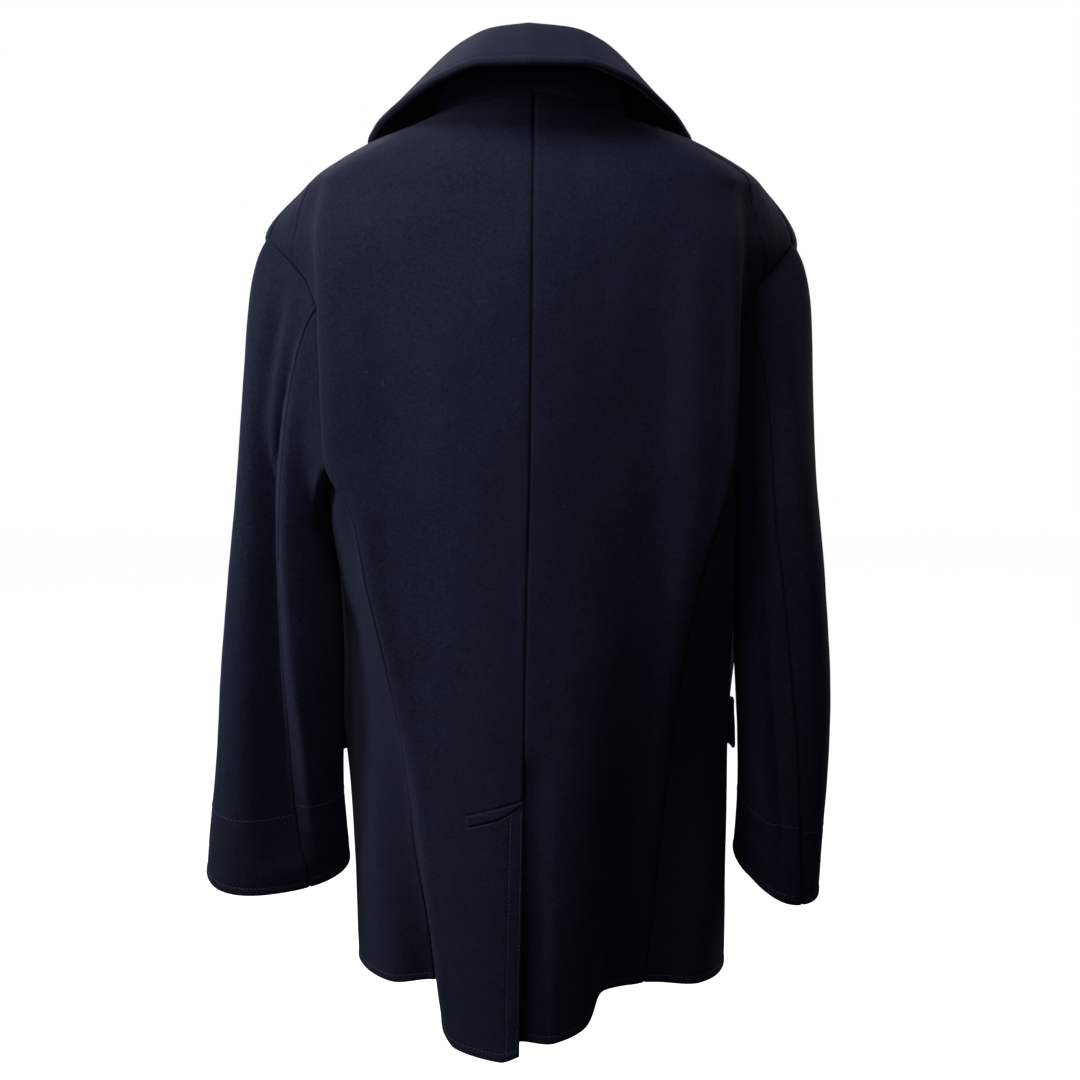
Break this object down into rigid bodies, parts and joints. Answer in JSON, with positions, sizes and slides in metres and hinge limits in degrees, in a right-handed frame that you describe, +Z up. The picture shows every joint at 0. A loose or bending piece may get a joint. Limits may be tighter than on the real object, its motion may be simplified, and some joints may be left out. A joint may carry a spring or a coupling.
{
  "type": "pea coat",
  "caption": "Double-breasted hip-length wool pea coat, filled out as worn, with a broad turned collar, shaped back seams and a centre back vent.",
  "frame": {"origin": "middle of the base of the neck, at the height of the side neck points, where the coat rests on the shoulders", "axes": "+Z up; the front of the coat faces -Y and the wearer's left is +X"},
  "size_m": [0.5831, 0.2818, 0.8826],
  "materials": {
    "wool": "dark navy wool melton with a short soft nap",
    "button": "near-black navy moulded plastic, softly polished"
  },
  "bodies": {
    "root": {"back_left": "wool", "back_right": "wool", "side_left": "wool", "side_right": "wool", "front_left": "wool", "front_right": "wool", "topsleeve_left": "wool", "topsleeve_right": "wool", "undersleeve_left": "wool", "undersleeve_right": "wool", "lapel_left": "wool", "lapel_right": "wool", "pocket_flap_left": "wool", "pocket_flap_right": "wool", "collar_stand": "wool", "collar_leaf": "wool", "button_1": "button", "button_2": "button", "button_3": "button", "button_4": "button", "button_5": "button", "button_6": "button"}
  },
  "joints": []
}
